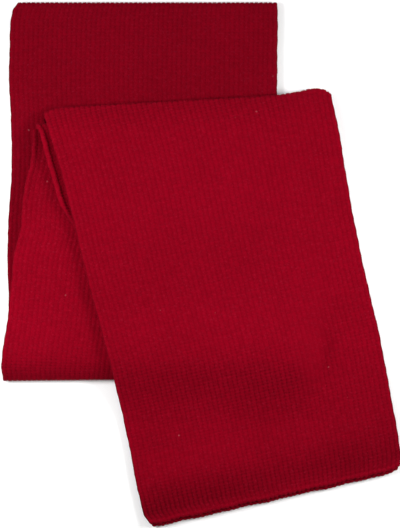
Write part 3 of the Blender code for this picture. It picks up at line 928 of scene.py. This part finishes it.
def painted_furrow_shade(tree, wale, course, depth, hem_shadow):
    """How light each point is, as painted shade: darker in the furrows between stitches and courses, darker
    still before the hem, where the cloth slopes into the groove by the welt, and slowly darker towards the
    end's right corner."""
    # painted shade in the furrows between stitches and between courses
    furrows = times(tree, ridge(tree, wale, 2.6), depth)
    rows = times(tree, ridge(tree, course, 3.0), 0.6 * depth)
    if not hem_shadow:
        return minus(tree, 1.0, maths(tree, "MAXIMUM", furrows, rows))
    # painted shade before the hem, where the cloth slopes into the groove by the welt
    near = hem_nearness(tree, wale, course)
    deeper = times(tree, ridge(tree, wale, 1.5), times(tree, near, HEM_FURROW_SHADE))
    dark = plus(tree, maths(tree, "MAXIMUM", furrows, rows), deeper)
    dark = plus(tree, dark, times(tree, near, HEM_PAINTED_SHADE))
    # painted shade, slowly deeper towards the end's right corner
    rightward = maths(tree, "POWER", maths(tree, "DIVIDE", wale, WALES), 1.5)
    slow = times(tree, before_hem(tree, course, CORNER_COURSES), rightward)
    dark = plus(tree, dark, times(tree, slow, CORNER_PAINTED_SHADE))
    return minus(tree, 1.0, dark)


def stitch_tone(tree, wale, course):
    """Each stitch a little lighter or darker than the next."""
    cell = tree.nodes.new("ShaderNodeCombineXYZ")
    tree.links.new(maths(tree, "FLOOR", wale), cell.inputs[0])
    tree.links.new(maths(tree, "FLOOR", course), cell.inputs[1])
    chance = tree.nodes.new("ShaderNodeTexWhiteNoise")
    tree.links.new(cell.outputs[0], chance.inputs["Vector"])
    uneven = times(tree, chance.outputs["Value"], STITCH_UNEVEN)
    return plus(tree, uneven, 1.0 - STITCH_UNEVEN / 2)


def mixed(tree, factor, first, colour):
    """A colour socket mixed towards a fixed colour."""
    mix = tree.nodes.new("ShaderNodeMix")
    mix.data_type = "RGBA"
    tree.links.new(factor, mix.inputs["Factor"])
    tree.links.new(first, mix.inputs[6])
    mix.inputs[7].default_value = (*colour, 1.0)
    return mix.outputs[2]


def yarn_bump(tree, wale, course, fibres):
    """Two strands twisted along each leg of a stitch, under fine fibres."""
    slant = times(tree, maths(tree, "FRACT", course), LEG_SLANT)
    across = minus(tree, from_middle(tree, wale), slant)
    leg = times(tree, across, TWIST_ACROSS)
    twist = plus(tree, leg, times(tree, course, TWIST_ALONG))
    strands = times(tree, maths(tree, "SINE", twist), 0.5)
    height = plus(tree, strands, times(tree, fibres, 1.6))
    bump = node(tree, "ShaderNodeBump", Strength=0.7, Distance=YARN_BUMP)
    tree.links.new(height, bump.inputs["Height"])
    return bump.outputs[0]


def pale_lint(tree, place):
    """A few short pale specks: 1 on a speck, 0 elsewhere."""
    cells = node(tree, "ShaderNodeTexVoronoi", Scale=62.0)
    tree.links.new(place, cells.inputs["Vector"])
    chosen = tree.nodes.new("ShaderNodeSeparateXYZ")
    tree.links.new(cells.outputs["Color"], chosen.inputs[0])
    near = maths(tree, "LESS_THAN", cells.outputs["Distance"], LINT_SIZE)
    return times(tree, near, maths(tree, "GREATER_THAN", chosen.outputs[0], LINT_RARE))


def painted_hollow_shadow(tree, course, amount):
    """Painted shadow over the first courses of a stretch that starts in the hollow under a fold, where the
    raised edge beside it blocks the light.
    """
    deep = minus(tree, 1.0, maths(tree, "DIVIDE", course, HOLLOW_COURSES))
    deep = maths(tree, "MINIMUM", maths(tree, "MAXIMUM", deep, 0.0), 1.0)
    return minus(tree, 1.0, times(tree, deep, amount))


def noise(tree, place, **values):
    texture = node(tree, "ShaderNodeTexNoise", **values)
    tree.links.new(place, texture.inputs["Vector"])
    return texture.outputs[0]


def uneven_dye(tree, place, red):
    """The yarn's red, varying broadly and slowly over the cloth."""
    ramp = tree.nodes.new("ShaderNodeValToRGB")
    darker, lighter = ramp.color_ramp.elements
    darker.position = 0.3
    darker.color = (red[0] * 0.95, red[1] * 0.9, red[2] * 0.93, 1.0)
    lighter.position = 0.7
    lighter.color = (red[0] * 1.05, red[1] * 1.1, red[2] * 1.07, 1.0)
    tree.links.new(noise(tree, place, Scale=14.0, Detail=2.0), ramp.inputs[0])
    return ramp.outputs[0]


def fuzz_and_lint(tree, place, yarn, red):
    """Fuzz a little lighter and pinker than the yarn, and sparse lint."""
    fuzz = noise(tree, place, Scale=820.0, Detail=1.0)
    tufts = times(tree, minus(tree, fuzz, FUZZ_LEVEL), 2.2)
    tufts = maths(tree, "MINIMUM", maths(tree, "MAXIMUM", tufts, 0.0), FUZZ_MOST)
    fuzzy = mixed(tree, tufts, yarn, (red[0] * 1.5, red[1] + 0.010, red[2] + 0.022))
    return mixed(tree, times(tree, pale_lint(tree, place), 0.3), fuzzy, LINT)


def knit_material(name, red, depth, hem_shadow=False, hollow=0.0):
    """Matt red yarn: painted shade in the furrows (depth sets how dark), on the side edges and, where
    asked, before the hem and in a hollow; uneven stitches, pinkish fuzz and a few pale specks.
    """
    material, tree, shader = matt_material(name, 0.92, 0.02)
    shader.inputs["Sheen Weight"].default_value = 0.10
    shader.inputs["Sheen Roughness"].default_value = 0.45
    shader.inputs["Sheen Tint"].default_value = (0.85, 0.04, 0.10, 1.0)

    stitches = node(tree, "ShaderNodeUVMap", uv_map="stitches")
    split = tree.nodes.new("ShaderNodeSeparateXYZ")
    tree.links.new(stitches.outputs[0], split.inputs[0])
    wale, course = split.outputs[0], split.outputs[1]
    place = tree.nodes.new("ShaderNodeTexCoord").outputs["Object"]

    fibres = noise(tree, place, Scale=1900.0, Detail=3.0, Roughness=0.65)
    tree.links.new(yarn_bump(tree, wale, course, fibres), shader.inputs["Normal"])
    furrows = painted_furrow_shade(tree, wale, course, depth, hem_shadow)
    tone = times(tree, stitch_tone(tree, wale, course), furrows)
    # painted shade along the side edges
    tone = times(tree, tone, painted_rim_shade(tree, wale))
    # painted shadow in the hollow where the stretch starts
    if hollow:
        tone = times(tree, tone, painted_hollow_shadow(tree, course, hollow))
    yarn = node(tree, "ShaderNodeVectorMath", operation="SCALE")
    tree.links.new(uneven_dye(tree, place, red), yarn.inputs[0])
    tree.links.new(tone, yarn.inputs["Scale"])
    tree.links.new(fuzz_and_lint(tree, place, yarn.outputs[0], red), shader.inputs["Base Color"])
    return material


# The yarn's red scaled by a factor; in main the factors make lit and shaded copies for the stretches:
# painted light and shade.
def shade(factor):
    return tuple(value * factor for value in RED)


def floor_material():
    """Off-white, faintly uneven."""
    material, tree, shader = matt_material("pale_floor", 0.9, 0.1)
    clouds = node(tree, "ShaderNodeTexNoise", Scale=6.0, Detail=2.0)
    ramp = tree.nodes.new("ShaderNodeValToRGB")
    ramp.color_ramp.elements[0].color = (0.94, 0.94, 0.94, 1.0)
    ramp.color_ramp.elements[1].color = (0.90, 0.90, 0.90, 1.0)
    tree.links.new(clouds.outputs[0], ramp.inputs[0])
    tree.links.new(ramp.outputs[0], shader.inputs["Base Color"])
    return material


# ---- Floor, light and camera ----

FLOOR_SIZE = 4.0
VIEW_HEIGHT = 0.453  # the picture's long side covers this much of the scarf's middle plane
VIEW_PLANE = 0.010  # height of that plane
CAMERA_HEIGHT = 3.0
SENSOR = 36.0
Lamp = namedtuple("Lamp", "name x power")
LAMPS = (Lamp("left_light", x=-0.66, power=2.40), Lamp("right_light", x=0.66, power=2.15))
LAMP_Y = 0.10
LAMP_Z = 0.48
LAMP_AIM_Y = -0.01
LAMP_SIZE = 0.36
LAMP_SPREAD = 1.7  # radians; a soft egg-crate keeps each light on the middle of the table
AMBIENT = 0.42


def floor():
    mesh = bpy.data.meshes.new("floor")
    half = FLOOR_SIZE / 2
    corners = [(-half, -half, 0.0), (half, -half, 0.0), (half, half, 0.0), (-half, half, 0.0)]
    mesh.from_pydata(corners, [], [(0, 1, 2, 3)])
    mesh.materials.append(floor_material())
    placed("floor", mesh)


def area_lamp(lamp):
    data = bpy.data.lights.new(lamp.name, "AREA")
    data.shape = "SQUARE"
    data.size = LAMP_SIZE
    data.energy = lamp.power
    data.spread = LAMP_SPREAD
    made = placed(lamp.name, data)
    made.location = (lamp.x, LAMP_Y, LAMP_Z)
    towards = Vector((-lamp.x, LAMP_AIM_Y - LAMP_Y, -LAMP_Z))
    made.rotation_euler = towards.to_track_quat("-Z", "Y").to_euler()


def world_light():
    world = bpy.data.worlds.new("studio")
    world.use_nodes = True
    background = world.node_tree.nodes["Background"]
    background.inputs["Color"].default_value = (1.0, 1.0, 1.0, 1.0)
    background.inputs["Strength"].default_value = AMBIENT
    bpy.context.scene.world = world


def camera():
    data = bpy.data.cameras.new("camera")
    data.sensor_width = SENSOR
    data.lens = SENSOR * (CAMERA_HEIGHT - VIEW_PLANE) / VIEW_HEIGHT
    made = placed("camera", data)
    made.location = (0.0, 0.0, CAMERA_HEIGHT)
    bpy.context.scene.camera = made


def dress(piece, cad_node):
    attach(piece, "root")
    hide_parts(cad_node)


def main():
    camera()
    floor()
    world_light()
    for lamp in LAMPS:
        area_lamp(lamp)
    bpy.context.scene.view_settings.view_transform = "Standard"

    # Lit and shaded copies of the one red, as painted light and shade: the back stretch's yarn about a
    # quarter darker for the dimmer light at the top, the middle's a little lighter, the hem's about a tenth
    # darker where its raised welt catches more light.
    back = back_knit(knit_material("shaded_back_yarn", shade(0.755), 0.02))
    middle = middle_knit(knit_material("middle_knit_yarn", shade(1.02), 0.04, hollow=0.27))
    middle_under = middle_knit_under(knit_material("middle_under_yarn", shade(1.0), 0.10))
    front = front_knit(knit_material("front_knit_yarn", shade(0.985), 0.11, hem_shadow=True))
    front_under = front_knit_under(knit_material("front_under_yarn", shade(1.0), 0.06, hem_shadow=True))
    shaded_hem_yarn = knit_material("shaded_hem_yarn", shade(0.88), 0.15)
    front_hem = welt("end_welt", FRONT, FRONT_LENGTH, 3 * HEM_RADIUS + GAP, shaded_hem_yarn)
    under_hem = welt("end_welt_under", UNDER, UNDER_LENGTH, WELT_RADIUS, shaded_hem_yarn)

    dress(back, "back_stretch")
    dress(middle, "middle_stretch")
    dress(middle_under, "middle_stretch_under")
    dress(front, "front_stretch")
    dress(front_under, "front_stretch_under")
    dress(front_hem, "end_hem")
    dress(under_hem, "end_hem_under")


main()
